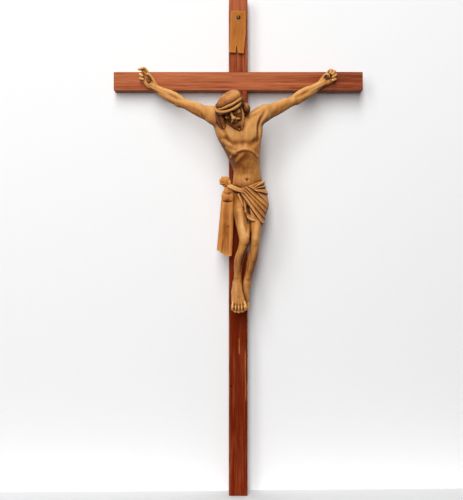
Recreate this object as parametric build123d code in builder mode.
"""Wall crucifix: a half-lapped wooden cross, a carved figure with separate arms, and a small bare board.

Millimetres. The origin is the mouth of the hanging hole in the back of the upright, +Z is up, the wall
lies towards +Y and the figure faces -Y. Right and left are the figure's own.
"""

import os
from math import atan2, cos, degrees, pi, radians, sin

from build123d import *

# Cross
post_height = 600.0
crossbar_length = 300.0
beam_width = 22.5
beam_thickness = 16.0
crossbar_drop = 89.5
edge_chamfer = 0.7
lap_clearance = 0.1

# Hanging hole, blind, in the back of the upright
hanging_drop = 25.0
hanging_radius = 3.0
hanging_depth = 10.0

# Wood screw that holds the figure from behind
screw_drop = 138.0
screw_offset = 6.5
screw_recess = 0.3
screw_radius = 1.75
screw_head_radius = 3.6
screw_head_height = 2.6
screw_length = 26.0
screw_tip_length = 4.0
screw_slot_width = 0.9
screw_slot_depth = 0.8
fit_clearance = 0.05

# Torso, measured down from the middle of the crossbar and out from the front of the cross
torso_top_drop = 35.0
torso_length = 131.0
chest_width = 55.0
chest_depth = 35.0
chest_standoff = 25.0
hip_sway = 13.0

# Head and neck
head_height = 37.0
head_width = 25.0
head_depth = 28.0
head_drop = 41.0
head_shift = -8.5
head_standoff = 46.5
head_lean = 31.0
head_nod = 32.0
neck_radius = 8.0
crown_radius = 15.0
crown_thickness = 7.6
crown_strands = 3
lock_radius = 2.8

# Arms and hands
shoulder_half_span = 29.0
right_shoulder_drop = 44.5
left_shoulder_drop = 42.7
shoulder_standoff = 24.0
hand_reach = 107.0
right_hand_rise = -1.1
left_hand_rise = 3.7
arm_thickness = 14.0
palm_length = 15.0
palm_width = 12.5
palm_thickness = 6.5
finger_radius = 1.75
finger_length = 8.5
right_hand_angle = 124.0
left_hand_angle = 56.0
dowel_radius = 2.0
dowel_length = 16.0

# Legs and feet
leg_top_drop = 140.0
leg_length = 106.0
thigh_width = 21.0
knee_standoff = 30.0
foot_length = 36.0
foot_width = 15.0
foot_thickness = 9.0
toe_radius = 2.0

# Loincloth
cloth_thickness = 1.6
hem_right_side = -14.0
hem_right_drop = 130.0
hem_left_side = 30.0
hem_left_drop = 178.0
fold_radius = 1.7
cloth_end_width = 15.0
cloth_end_length = 83.0
cloth_end_depth = 7.0
cloth_end_drop = 127.0
cloth_end_shift = -14.5
cloth_end_standoff = 15.0
knot_length = 13.0
knot_angle = 163.0
knot_spread = 25.0
knot_standoff = 18.0
lobe_radius = 2.3

# Hand nails and the board with its nail
nail_radius = 1.1
nail_length = 17.0
nail_head_radius = 2.4
nail_head_height = 1.7
board_width = 17.4
board_height = 48.5
board_thickness = 2.6
board_bottom_rise = 33.0
board_lean = 3.5
board_lift = 2.2
slit_width = 1.3
slit_height = 7.5
tack_radius = 0.8
tack_length = 7.0
tack_head_radius = 1.9
tack_head_height = 1.3
tack_drop = 5.0

# One overrun serves every cut
overrun = 5.0

# Shares of the beam thickness taken by the half lap, and of a nail head kept as its rim
lap_share = 0.5
rim_share = 0.3
nail_point_share = 0.2

# Torso stations: drop, half width, half depth, sway, standoff
torso_shares = [
    (0.060, 0.18, 0.20, 0.06, 0.98),
    (0.100, 0.345, 0.30, 0.03, 0.98),
    (0.145, 0.47, 0.365, 0.00, 0.98),
    (0.190, 0.51, 0.415, 0.00, 1.00),
    (0.235, 0.495, 0.455, 0.04, 1.01),
    (0.305, 0.45, 0.49, 0.15, 1.02),
    (0.395, 0.385, 0.485, 0.37, 0.98),
    (0.485, 0.325, 0.42, 0.58, 0.88),
    (0.570, 0.29, 0.36, 0.78, 0.76),
    (0.660, 0.315, 0.375, 0.83, 0.63),
    (0.770, 0.355, 0.43, 0.92, 0.54),
    (0.880, 0.29, 0.36, 0.97, 0.58),
    (0.980, 0.14, 0.18, 1.00, 0.76),
]

# Shoulder stations from the joint inwards: side, fall below the joint, half height, half depth
girdle_shares = [(0.69, 0.33, 0.66, 0.62), (0.34, 0.72, 0.58, 0.56)]
# Breast muscles: side, drop, radius, standoff
breast_shares = [(-0.16, 0.237, 0.273, 1.09), (0.225, 0.232, 0.264, 1.08)]
# Edge of the ribs over the belly: turn from the figure's left, and drop
rib_shares = [(0.61, 0.462), (0.757, 0.397), (0.875, 0.443)]
rib_radius_share = 0.055
# Kneecaps, right and left: side, drop, standoff, and their size in thigh widths
knee_shares = [(0.35, 0.47, 1.10), (0.97, 0.49, 1.05)]
knee_radius_share = 0.27

# Leg stations: drop, side place, half width, standoff, half depth
right_leg_shares = [
    (-0.04, 0.30, 0.36, 0.55, 0.50),
    (0.15, 0.07, 0.45, 0.66, 0.55),
    (0.29, 0.09, 0.38, 0.82, 0.49),
    (0.40, 0.23, 0.345, 0.95, 0.43),
    (0.50, 0.35, 0.315, 1.01, 0.38),
    (0.575, 0.23, 0.295, 0.94, 0.36),
    (0.66, 0.05, 0.295, 0.80, 0.38),
    (0.775, -0.04, 0.245, 0.66, 0.31),
    (0.90, -0.06, 0.20, 0.54, 0.25),
    (1.00, -0.04, 0.225, 0.50, 0.25),
]
left_leg_shares = [
    (-0.04, 0.92, 0.36, 0.54, 0.50),
    (0.15, 1.09, 0.47, 0.63, 0.55),
    (0.29, 1.05, 0.41, 0.78, 0.49),
    (0.405, 0.99, 0.34, 0.90, 0.43),
    (0.52, 0.97, 0.29, 0.95, 0.38),
    (0.615, 0.90, 0.285, 0.86, 0.36),
    (0.71, 0.79, 0.29, 0.72, 0.36),
    (0.83, 0.66, 0.235, 0.53, 0.29),
    (0.94, 0.52, 0.205, 0.38, 0.24),
    (1.00, 0.44, 0.23, 0.31, 0.25),
]

# Foot stations: drop, side place, half width, standoff, half thickness
foot_shares = [
    (-0.14, 0.00, 0.28, 0.01, 0.52),
    (0.10, -0.02, 0.39, 0.02, 0.58),
    (0.32, -0.02, 0.48, 0.07, 0.53),
    (0.58, 0.01, 0.53, 0.12, 0.42),
    (0.80, 0.02, 0.49, 0.17, 0.28),
]
# Toes from the great toe outwards: across, drop, size
toe_shares = [
    (-0.40, 0.81, 1.25),
    (-0.17, 0.85, 1.00),
    (0.03, 0.83, 0.95),
    (0.22, 0.79, 0.90),
    (0.39, 0.73, 0.85),
]

# Arm stations: along, sag, half height, half depth
arm_shares = [
    (0.00, 0.000, 0.66, 0.60),
    (0.11, -0.018, 0.58, 0.55),
    (0.25, -0.028, 0.49, 0.47),
    (0.39, -0.043, 0.42, 0.41),
    (0.49, -0.046, 0.455, 0.40),
    (0.60, -0.042, 0.475, 0.385),
    (0.71, -0.040, 0.42, 0.33),
    (0.82, -0.036, 0.335, 0.28),
    (0.94, -0.027, 0.265, 0.235),
]

# Palm outline: along and across, from the wrist round to the knuckles
palm_shares = [
    (-0.62, -0.34),
    (0.00, -0.47),
    (0.42, -0.46),
    (0.55, 0.00),
    (0.42, 0.46),
    (0.00, 0.47),
    (-0.62, 0.34),
]
# Fingers: root across, first and second joint along and forward, tip along and forward
finger_shares = [
    (-0.38, 0.75, 0.10, 1.05, 0.62),
    (-0.13, 0.95, 0.05, 1.30, 0.60),
    (0.12, 0.85, 0.35, 0.70, 1.00),
    (0.36, 0.70, 0.40, 0.45, 0.95),
]
thumb_shares = [(-0.45, -0.55, 0.25), (0.10, -0.62, 0.55), (0.62, -0.52, 0.75)]

# Head stations from chin to crown: rise, half width, half depth, forward place
skull_shares = [
    (-0.48, 0.16, 0.15, 0.26),
    (-0.36, 0.29, 0.26, 0.17),
    (-0.18, 0.40, 0.37, 0.08),
    (0.02, 0.46, 0.45, 0.02),
    (0.26, 0.46, 0.46, -0.02),
    (0.46, 0.22, 0.24, -0.03),
]
hair_shares = [
    (-0.52, 0.34, 0.20, -0.30),
    (-0.30, 0.50, 0.34, -0.22),
    (-0.05, 0.57, 0.44, -0.12),
    (0.20, 0.58, 0.52, -0.05),
    (0.38, 0.46, 0.46, -0.04),
    (0.50, 0.22, 0.24, -0.04),
]
# Hair behind the head and over the left ear: across, forward, rise, radius
hair_mass_shares = [(0.46, -0.47, 0.095, 0.345), (0.525, -0.285, -0.315, 0.19)]
# Lock of hair at the right cheek: across, forward, rise
lock_shares = [(-0.57, 0.02, 0.17), (-0.65, 0.09, 0.05), (-0.725, 0.16, -0.14), (-0.78, 0.21, -0.33)]
beard_shares = [(-0.66, 0.06, 0.05, 0.22), (-0.52, 0.21, 0.19, 0.22), (-0.34, 0.30, 0.25, 0.20)]
nose_shares = [(0.10, 0.42), (-0.13, 0.60), (-0.17, 0.40)]
nose_half_width_share = 0.085
crown_rise_share = 0.18
strand_place_share = 0.30
strand_radius_share = 0.29

# Loincloth stations from the hips down over the left thigh, in the torso's shares, under the cloth
wrap_shares = [
    (0.660, 0.315, 0.375, 0.83, 0.63),
    (0.770, 0.355, 0.43, 0.92, 0.54),
    (0.880, 0.355, 0.42, 1.15, 0.68),
    (0.985, 0.26, 0.35, 1.50, 0.82),
    (1.070, 0.18, 0.29, 1.69, 0.93),
]
# Folds over the loincloth: turn and drop at both ends, in turns from the figure's left and in torso lengths
fold_shares = [
    (0.66, 0.700, 0.97, 0.80),
    (0.67, 0.735, 0.96, 0.88),
    (0.68, 0.770, 0.93, 0.95),
    (0.735, 0.80, 0.90, 1.005),
    (0.84, 0.705, 0.98, 0.75),
    (0.52, 0.690, 0.69, 0.75),
]
# Pleated cross section of the hanging cloth end: across and forward, front side then back side
pleat_front_shares = [(-0.5, 0.25), (-0.32, 0.48), (-0.14, 0.16), (0.06, 0.50), (0.26, 0.14), (0.5, 0.30)]
pleat_back_shares = [(0.5, -0.20), (0.1, -0.42), (-0.3, -0.36), (-0.5, -0.15)]
# Cloth end stations: drop, width, depth, shift
cloth_end_shares = [
    (0.00, 0.72, 0.80, 0.04),
    (0.30, 0.92, 0.95, 0.00),
    (0.70, 1.00, 1.00, -0.02),
    (1.00, 1.10, 0.90, -0.18),
]
hem_slope_share = 0.45
# Lobes of the knot: turn and length
lobe_shares = [(-0.80, 0.84), (-0.05, 0.96), (0.62, 0.92), (1.36, 0.66)]
knot_ring_share = 1.3

# Board outline: across and up, with bowed long sides
board_bow_share = 0.05
board_bend_share = 0.4
slit_place_share = 0.05

# Places that several pieces share
front_y = -beam_thickness
post_top_z = hanging_drop
post_bottom_z = post_top_z - post_height
crossbar_z = post_top_z - crossbar_drop - beam_width / 2
lap_depth = beam_thickness * lap_share
screw_z = crossbar_z - screw_drop
board_bottom_z = crossbar_z + board_bottom_rise
board_top_z = board_bottom_z + board_height
tack_z = board_top_z - tack_drop
outward = Vector(0, -1, 0)

# Most sections that one smooth run of a loft passes through after its first
run_sections = 5


def spot(side, drop, standoff):
    """Point of the figure: to its left, below the crossbar's middle and out from the cross."""
    return Vector(side, front_y - standoff, crossbar_z - drop)


def between(rows, share):
    """Row of a share table at a share of its first column, by straight interpolation."""
    for low, high in zip(rows, rows[1:]):
        if share <= high[0]:
            part = (share - low[0]) / (high[0] - low[0])
            return [a + (b - a) * part for a, b in zip(low, high)]
    return rows[-1]


def oval(plane, half_across, half_along):
    """Elliptical section on a plane."""
    with BuildSketch(plane) as section:
        Ellipse(half_across, half_along)
    return section.sketch


def limb(sections):
    """Adds a carved limb to the part being made, in smooth runs that share their end sections."""
    for first in range(0, len(sections) - 1, run_sections):
        loft(sections=sections[first : first + run_sections + 1])


def tube(path, radius):
    """Adds a round rod with a rounded tip along a path to the part being made."""
    with BuildSketch(Plane(origin=path @ 0, z_dir=path % 0)) as section:
        Circle(radius)
    sweep(sections=section.sketch, path=path)
    with Locations(path @ 1):
        Sphere(radius)


def ring(row, cover):
    """Centre, half width and half depth of the torso or the loincloth at a row of its table."""
    drop, half_width, half_depth, sway, standoff = row
    centre = spot(hip_sway * sway, torso_top_drop + torso_length * drop, chest_standoff * standoff)
    return centre, chest_width * half_width + cover, chest_depth * half_depth + cover


def skin_point(rows, cover, turn, drop):
    """Point on the torso or the loincloth at a share of a turn and a share of the torso length."""
    centre, half_width, half_depth = ring(between(rows, drop), cover)
    return centre + Vector(half_width * cos(2 * pi * turn), half_depth * sin(2 * pi * turn), 0)


def wrapped(rows, cover):
    """Level sections of the torso or the loincloth."""
    return [oval(Plane(origin=c), w, d) for c, w, d in (ring(row, cover) for row in rows)]


def girdle_sections(shoulder):
    """Upright sections from a shoulder joint in to the chest, the first one as large as the arm's end."""
    side = Vector(shoulder.X, 0, 0).normalized()
    sections = []
    for place, fall, half_high, half_deep in [(1, 0, *arm_shares[0][2:]), *girdle_shares]:
        centre = shoulder + side * (shoulder_half_span * (place - 1)) - Vector(0, 0, arm_thickness * fall)
        plane = Plane(origin=centre, x_dir=outward, z_dir=side)
        sections.append(oval(plane, arm_thickness * half_deep, arm_thickness * half_high))
    return sections


def leg_sections(rows):
    """Level sections of a leg from the hip to the ankle."""
    sections = []
    for drop, side, half_width, standoff, half_depth in rows:
        centre = spot(thigh_width * side, leg_top_drop + leg_length * drop, knee_standoff * standoff)
        sections.append(oval(Plane(origin=centre), thigh_width * half_width, thigh_width * half_depth))
    return sections


def ankle(rows):
    """Side place, drop and standoff of the ankle at the end of a leg."""
    drop, side, _, standoff, _ = rows[-1]
    return thigh_width * side, leg_top_drop + leg_length * drop, knee_standoff * standoff


def foot_sections(side, drop, standoff):
    """Level sections of a foot, from the ankle at the given place down to the toes."""
    sections = []
    for down, across, half_width, out, half_thick in foot_shares:
        centre = spot(side + foot_width * across, drop + foot_length * down, standoff + foot_length * out)
        sections.append(oval(Plane(origin=centre), foot_width * half_width, foot_thickness * half_thick))
    return sections


def toe_places(side, drop, standoff, inner):
    """Ball centre and radius of each toe, the great toe on the inner side."""
    reach = standoff + foot_length * foot_shares[-1][3]
    places = []
    for across, down, size in toe_shares:
        place = spot(side - foot_width * across * inner, drop + foot_length * down, reach)
        places.append((place, toe_radius * size))
    return places


def arm_sections(shoulder, palm):
    """Sections of an arm, the first one flat on the shoulder joint and the rest square to the reach."""
    reach = palm - shoulder
    side = Vector(reach.X, 0, 0).normalized()
    lift = Vector(-reach.Z * side.X, 0, abs(reach.X)).normalized() * reach.length
    sections = []
    for along, sag, half_high, half_deep in arm_shares:
        facing = reach if along else side
        plane = Plane(origin=shoulder + reach * along + lift * sag, x_dir=outward, z_dir=facing)
        sections.append(oval(plane, arm_thickness * half_deep, arm_thickness * half_high))
    return sections


def hand_plane(palm, angle):
    """Plane on the crossbar behind a hand, its X along the hand and its Z out from the cross."""
    along = Vector(cos(radians(angle)), 0, sin(radians(angle)))
    return Plane(origin=(palm.X, front_y, palm.Z), x_dir=along, z_dir=outward)


def hand(plane, thumb_side):
    """Adds a half-closed hand to the arm being made: the palm, four fingers and the thumb."""
    outline = [(palm_length * along, palm_width * across) for along, across in palm_shares]
    with BuildSketch(plane) as palm:
        with BuildLine():
            Spline(*outline, periodic=True)
        make_face()
    extrude(palm.sketch, amount=palm_thickness)
    root = palm_length * palm_shares[2][0]
    middle = palm_thickness / 2
    for across, bend, bend_out, tip, tip_out in finger_shares:
        side = -palm_width * across * thumb_side
        with BuildLine(plane) as finger:
            ThreePointArc(
                (root, side, middle),
                (root + finger_length * bend, side, middle + finger_length * bend_out),
                (root + finger_length * tip, side, middle + finger_length * tip_out),
            )
        tube(finger.line, finger_radius)
    points = []
    for along, across, out in thumb_shares:
        points.append((palm_length * along, -palm_width * across * thumb_side, palm_thickness * out))
    with BuildLine(plane) as thumb:
        ThreePointArc(*points)
    tube(thumb.line, finger_radius)


def head_sections(rows):
    """Sections of the head square to its own upright axis."""
    sections = []
    for rise, half_width, half_depth, forward in rows:
        plane = head_plane.offset(head_height * rise)
        plane = plane.shift_origin(plane.from_local_coords((0, -head_depth * forward, 0)))
        sections.append(oval(plane, head_width * half_width, head_depth * half_depth))
    return sections


def head_spot(across, forward, rise):
    """Point of the head: to its left, forwards and up from its middle."""
    return head_plane.from_local_coords((head_width * across, -head_depth * forward, head_height * rise))


def pleat_section(drop, width, depth, shift):
    """Level section of the hanging cloth end, pleated in front and smooth behind."""
    centre = spot(
        cloth_end_shift + cloth_end_width * shift,
        cloth_end_drop + cloth_end_length * drop,
        cloth_end_standoff,
    )
    front = [(cloth_end_width * width * x, -cloth_end_depth * depth * y) for x, y in pleat_front_shares]
    back = [(cloth_end_width * width * x, -cloth_end_depth * depth * y) for x, y in pleat_back_shares]
    with BuildSketch(Plane(origin=centre)) as section:
        with BuildLine():
            Spline(*front)
            Line(front[-1], back[0])
            Spline(*back)
            Line(back[-1], front[0])
        make_face()
    return section.sketch


def pin_profile(plane, radius, length, head_radius, head_height):
    """Half profile of a round-headed nail, its X out from the axis and its Y towards the head."""
    rim = head_height * rim_share
    point = length * nail_point_share
    with BuildSketch(plane) as profile:
        with BuildLine():
            shank = [(0, -length), (radius, point - length), (radius, 0)]
            Polyline((0, head_height), *shank, (head_radius, 0), (head_radius, rim))
            TangentArc((0, head_height), (head_radius, rim), tangent=(1, 0))
        make_face()
    return profile.sketch


def pin_plane(point):
    """Plane of a nail's profile at the seat of its head, its Y pointing out from the cross."""
    return Plane(origin=point, x_dir=(1, 0, 0), z_dir=(0, 0, -1))


# Places on the figure
right_shoulder = spot(-shoulder_half_span, right_shoulder_drop, shoulder_standoff)
left_shoulder = spot(shoulder_half_span, left_shoulder_drop, shoulder_standoff)
right_palm = spot(-hand_reach, -right_hand_rise, palm_thickness / 2)
left_palm = spot(hand_reach, -left_hand_rise, palm_thickness / 2)
right_hand = hand_plane(right_palm, right_hand_angle)
left_hand = hand_plane(left_palm, left_hand_angle)
right_nail_seat = spot(-hand_reach, -right_hand_rise, palm_thickness)
left_nail_seat = spot(hand_reach, -left_hand_rise, palm_thickness)
tack_seat = Vector(0, front_y - board_thickness, tack_z)
head_plane = Plane(Location(spot(head_shift, head_drop, head_standoff)) * Rotation(head_nod, -head_lean, 0))

# Upright post with the front half of the lap cut away
with BuildPart() as upright_post:
    with BuildSketch(Plane.XY.offset(post_bottom_z)):
        with Locations((0, -beam_thickness / 2)):
            Rectangle(beam_width, beam_thickness)
    extrude(amount=post_height)
    chamfer(upright_post.edges(), edge_chamfer)
    with BuildSketch(Plane.XZ.offset(beam_thickness - lap_depth)):
        with Locations((0, crossbar_z)):
            Rectangle(beam_width + 2 * overrun, beam_width + lap_clearance)
    extrude(amount=lap_depth + overrun, mode=Mode.SUBTRACT)
    with Locations(Plane(origin=(0, 0, 0), z_dir=-outward)):
        Hole(hanging_radius, hanging_depth)
    with Locations(Plane(origin=(screw_offset, 0, screw_z), z_dir=-outward)):
        CounterSinkHole(
            screw_radius + fit_clearance,
            screw_head_radius * (1 + screw_recess / screw_head_height) + fit_clearance,
            counter_sink_angle=2 * degrees(atan2(screw_head_radius, screw_head_height)),
        )
    with Locations(Plane(origin=(0, front_y, tack_z), z_dir=outward)):
        Hole(tack_radius + fit_clearance, tack_length - board_thickness)

# Crossbar with the back half of the lap cut away and a blind hole for each hand nail
with BuildPart() as crossbar:
    with BuildSketch(Plane.YZ.offset(-crossbar_length / 2)):
        with Locations((-beam_thickness / 2, crossbar_z)):
            Rectangle(beam_thickness, beam_width)
    extrude(amount=crossbar_length)
    chamfer(crossbar.edges(), edge_chamfer)
    with BuildSketch(Plane.XZ.offset(beam_thickness - lap_depth)):
        with Locations((0, crossbar_z)):
            Rectangle(beam_width + lap_clearance, beam_width + 2 * overrun)
    extrude(amount=-lap_depth - overrun, mode=Mode.SUBTRACT)
    with Locations(right_hand, left_hand):
        Hole(nail_radius + fit_clearance, nail_length - palm_thickness)

# Loincloth wrapped round the hips and the left thigh, with a slanting hem and raised folds
with BuildPart() as loincloth:
    limb(wrapped(wrap_shares, cloth_thickness))
    hem = spot(hem_left_side, hem_left_drop, 0) - spot(hem_right_side, hem_right_drop, 0)
    hem_plane = Plane(origin=spot(hem_right_side, hem_right_drop, 0), x_dir=hem, z_dir=(-hem.Z, 0, hem.X))
    split(bisect_by=hem_plane, keep=Keep.TOP)
    for turn, drop, end_turn, end_drop in fold_shares:
        middle = ((turn + end_turn) / 2, (drop + end_drop) / 2)
        with BuildLine() as fold:
            ends = [(turn, drop), middle, (end_turn, end_drop)]
            ThreePointArc(*[skin_point(wrap_shares, cloth_thickness, *end) for end in ends])
        tube(fold.line, fold_radius)
        with Locations(fold.line @ 0):
            Sphere(fold_radius)

# Carved body: torso, head, loincloth, legs and feet in one block of wood
with BuildPart() as corpus_body:
    limb(wrapped(torso_shares, 0))
    for shoulder in (right_shoulder, left_shoulder):
        limb(girdle_sections(shoulder))
    for side, drop, radius, standoff in breast_shares:
        breast = spot(chest_width * side, torso_top_drop + torso_length * drop, chest_standoff * standoff)
        with Locations(breast):
            Sphere(chest_width * radius)
    with BuildLine() as rib_edge:
        ThreePointArc(*[skin_point(torso_shares, 0, *place) for place in rib_shares])
    tube(rib_edge.line, chest_depth * rib_radius_share)
    with Locations(rib_edge.line @ 0):
        Sphere(chest_depth * rib_radius_share)
    for rows, inner in ((right_leg_shares, 1), (left_leg_shares, -1)):
        limb(leg_sections(rows))
        limb(foot_sections(*ankle(rows)))
        for place, radius in toe_places(*ankle(rows), inner):
            with Locations(place):
                Sphere(radius)
    for side, drop, standoff in knee_shares:
        knee = spot(thigh_width * side, leg_top_drop + leg_length * drop, knee_standoff * standoff)
        with Locations(knee):
            Sphere(thigh_width * knee_radius_share)
    neck_base = Plane(origin=spot(0, torso_top_drop + neck_radius, chest_standoff))
    neck_top = head_plane.offset(-head_height / 4)
    limb([oval(plane, neck_radius, neck_radius) for plane in (neck_base, neck_top)])
    for rows in (skull_shares, hair_shares, beard_shares):
        limb(head_sections(rows))
    crown_plane = head_plane.offset(head_height * crown_rise_share)
    strand_place = crown_thickness * strand_place_share
    for strand in range(crown_strands):
        turn = 2 * pi * strand / crown_strands
        with Locations(crown_plane.offset(strand_place * sin(turn))):
            Torus(crown_radius + strand_place * cos(turn), crown_thickness * strand_radius_share)
    for across, forward, rise, radius in hair_mass_shares:
        with Locations(head_spot(across, forward, rise)):
            Sphere(head_width * radius)
    with BuildLine() as lock:
        Spline(*[head_spot(*place) for place in lock_shares])
    tube(lock.line, lock_radius)
    with BuildSketch(Plane(head_plane.origin, x_dir=-head_plane.y_dir, z_dir=head_plane.x_dir)):
        with BuildLine():
            Polyline(*[(head_depth * out, head_height * rise) for rise, out in nose_shares], close=True)
        make_face()
    extrude(amount=head_width * nose_half_width_share, both=True)
    add(loincloth.part)
    split(bisect_by=Plane(origin=(0, front_y, 0), z_dir=outward), keep=Keep.TOP)
    with Locations(Plane(origin=(screw_offset, front_y, screw_z), z_dir=-outward)):
        Hole(screw_radius + fit_clearance, screw_length - beam_thickness)
    with Locations(*[Plane(origin=s, z_dir=(s.X, 0, 0)) for s in (right_shoulder, left_shoulder)]):
        Hole(dowel_radius + fit_clearance, dowel_length / 2 + fit_clearance)

# Arms with their hands, each carved apart and joined at the shoulder by a dowel
with BuildPart() as right_arm:
    limb(arm_sections(right_shoulder, right_palm))
    hand(right_hand, -1)
    with Locations(Plane(origin=right_shoulder, z_dir=(-right_shoulder.X, 0, 0))):
        Hole(dowel_radius + fit_clearance, dowel_length / 2 + fit_clearance)
    with Locations(right_hand):
        Hole(nail_radius + fit_clearance)

with BuildPart() as left_arm:
    limb(arm_sections(left_shoulder, left_palm))
    hand(left_hand, 1)
    with Locations(Plane(origin=left_shoulder, z_dir=(-left_shoulder.X, 0, 0))):
        Hole(dowel_radius + fit_clearance, dowel_length / 2 + fit_clearance)
    with Locations(left_hand):
        Hole(nail_radius + fit_clearance)

with BuildPart() as right_shoulder_dowel:
    with Locations(Plane(origin=right_shoulder, z_dir=(1, 0, 0))):
        Cylinder(dowel_radius, dowel_length)

with BuildPart() as left_shoulder_dowel:
    with Locations(Plane(origin=left_shoulder, z_dir=(1, 0, 0))):
        Cylinder(dowel_radius, dowel_length)

# Knotted end of the loincloth, glued on at the right hip
with BuildPart() as loincloth_end:
    limb([pleat_section(*row) for row in cloth_end_shares])
    hem_slope = Vector(cloth_end_width, 0, -cloth_end_width * hem_slope_share)
    hem_corner = spot(
        cloth_end_shift - cloth_end_width / 2,
        cloth_end_drop + cloth_end_length - cloth_end_width * hem_slope_share,
        cloth_end_standoff,
    )
    end_plane = Plane(origin=hem_corner, x_dir=hem_slope, z_dir=(-hem_slope.Z, 0, hem_slope.X))
    split(bisect_by=end_plane, keep=Keep.TOP)
    knot_root = spot(cloth_end_shift + knot_length / 2, cloth_end_drop - knot_length / 6, knot_standoff)
    with Locations(knot_root):
        Sphere(lobe_radius * knot_ring_share)
    for turn, length in lobe_shares:
        angle = radians(knot_angle + knot_spread * turn)
        tip = knot_root + Vector(cos(angle), 0, sin(angle)) * (knot_length * length)
        with BuildLine() as lobe:
            Line(knot_root, tip)
        tube(lobe.line, lobe_radius)
    add(corpus_body.part, mode=Mode.SUBTRACT)

# Nails through the palms
with BuildPart() as right_hand_nail:
    plane = pin_plane(right_nail_seat)
    profile = pin_profile(plane, nail_radius, nail_length, nail_head_radius, nail_head_height)
    revolve(profile, Axis(right_nail_seat, outward))

with BuildPart() as left_hand_nail:
    plane = pin_plane(left_nail_seat)
    profile = pin_profile(plane, nail_radius, nail_length, nail_head_radius, nail_head_height)
    revolve(profile, Axis(left_nail_seat, outward))

# Bare board above the head, curling off the upright at its lower end, with its tack
with BuildPart() as titulus:
    with BuildSketch(Plane.YZ):
        with BuildLine():
            bend_z = board_top_z - board_height * board_bend_share
            face_y = front_y - board_thickness
            Line((front_y, board_top_z), (front_y, bend_z))
            TangentArc((front_y, bend_z), (front_y - board_lift, board_bottom_z), tangent=(0, -1))
            Line((front_y - board_lift, board_bottom_z), (face_y - board_lift, board_bottom_z))
            TangentArc((face_y, bend_z), (face_y - board_lift, board_bottom_z), tangent=(0, -1))
            Line((face_y, bend_z), (face_y, board_top_z))
            Line((face_y, board_top_z), (front_y, board_top_z))
        make_face()
    extrude(amount=board_width, both=True)
    board_plane = Plane(origin=(0, front_y, board_top_z), x_dir=(1, 0, 0), z_dir=outward)
    with BuildSketch(board_plane.rotated((0, 0, -board_lean))):
        with BuildLine():
            half = board_width / 2
            bow = half + board_width * board_bow_share
            Line((-half, 0), (half, 0))
            ThreePointArc((half, 0), (bow, -board_height / 2), (half, -board_height))
            Line((half, -board_height), (-half, -board_height))
            ThreePointArc((-half, -board_height), (-bow, -board_height / 2), (-half, 0))
        make_face()
        with Locations((board_width * slit_place_share, -board_height)):
            Rectangle(slit_width, 2 * slit_height, mode=Mode.SUBTRACT)
    extrude(amount=board_thickness + board_lift, mode=Mode.INTERSECT)
    with Locations(Plane(origin=tack_seat, z_dir=outward)):
        Hole(tack_radius + fit_clearance)

with BuildPart() as titulus_tack:
    plane = pin_plane(tack_seat)
    profile = pin_profile(plane, tack_radius, tack_length, tack_head_radius, tack_head_height)
    revolve(profile, Axis(tack_seat, outward))

# Countersunk screw from behind, through the upright into the hips
with BuildPart() as corpus_screw:
    head_y = -screw_recess
    with BuildSketch(Plane(origin=(screw_offset, 0, screw_z), x_dir=(1, 0, 0), z_dir=(0, 0, 1))):
        with BuildLine():
            Polyline(
                (0, head_y),
                (screw_head_radius, head_y),
                (screw_radius, head_y - screw_head_height * (1 - screw_radius / screw_head_radius)),
                (screw_radius, screw_tip_length - screw_length),
                (0, -screw_length),
                close=True,
            )
        make_face()
    revolve(axis=Axis((screw_offset, 0, screw_z), (0, 1, 0)))
    with BuildSketch(Plane(origin=(screw_offset, head_y, screw_z), x_dir=(1, 0, 0), z_dir=outward)):
        Rectangle(2 * screw_head_radius + overrun, screw_slot_width)
    extrude(amount=screw_slot_depth, mode=Mode.SUBTRACT)

nodes = {
    "upright_post": upright_post,
    "crossbar": crossbar,
    "corpus_body": corpus_body,
    "right_arm": right_arm,
    "left_arm": left_arm,
    "right_shoulder_dowel": right_shoulder_dowel,
    "left_shoulder_dowel": left_shoulder_dowel,
    "loincloth_end": loincloth_end,
    "right_hand_nail": right_hand_nail,
    "left_hand_nail": left_hand_nail,
    "titulus": titulus,
    "titulus_tack": titulus_tack,
    "corpus_screw": corpus_screw,
}
os.makedirs("parts", exist_ok=True)
for name, piece in nodes.items():
    piece.part.label = name
    export_step(piece.part, f"parts/{name}.step")
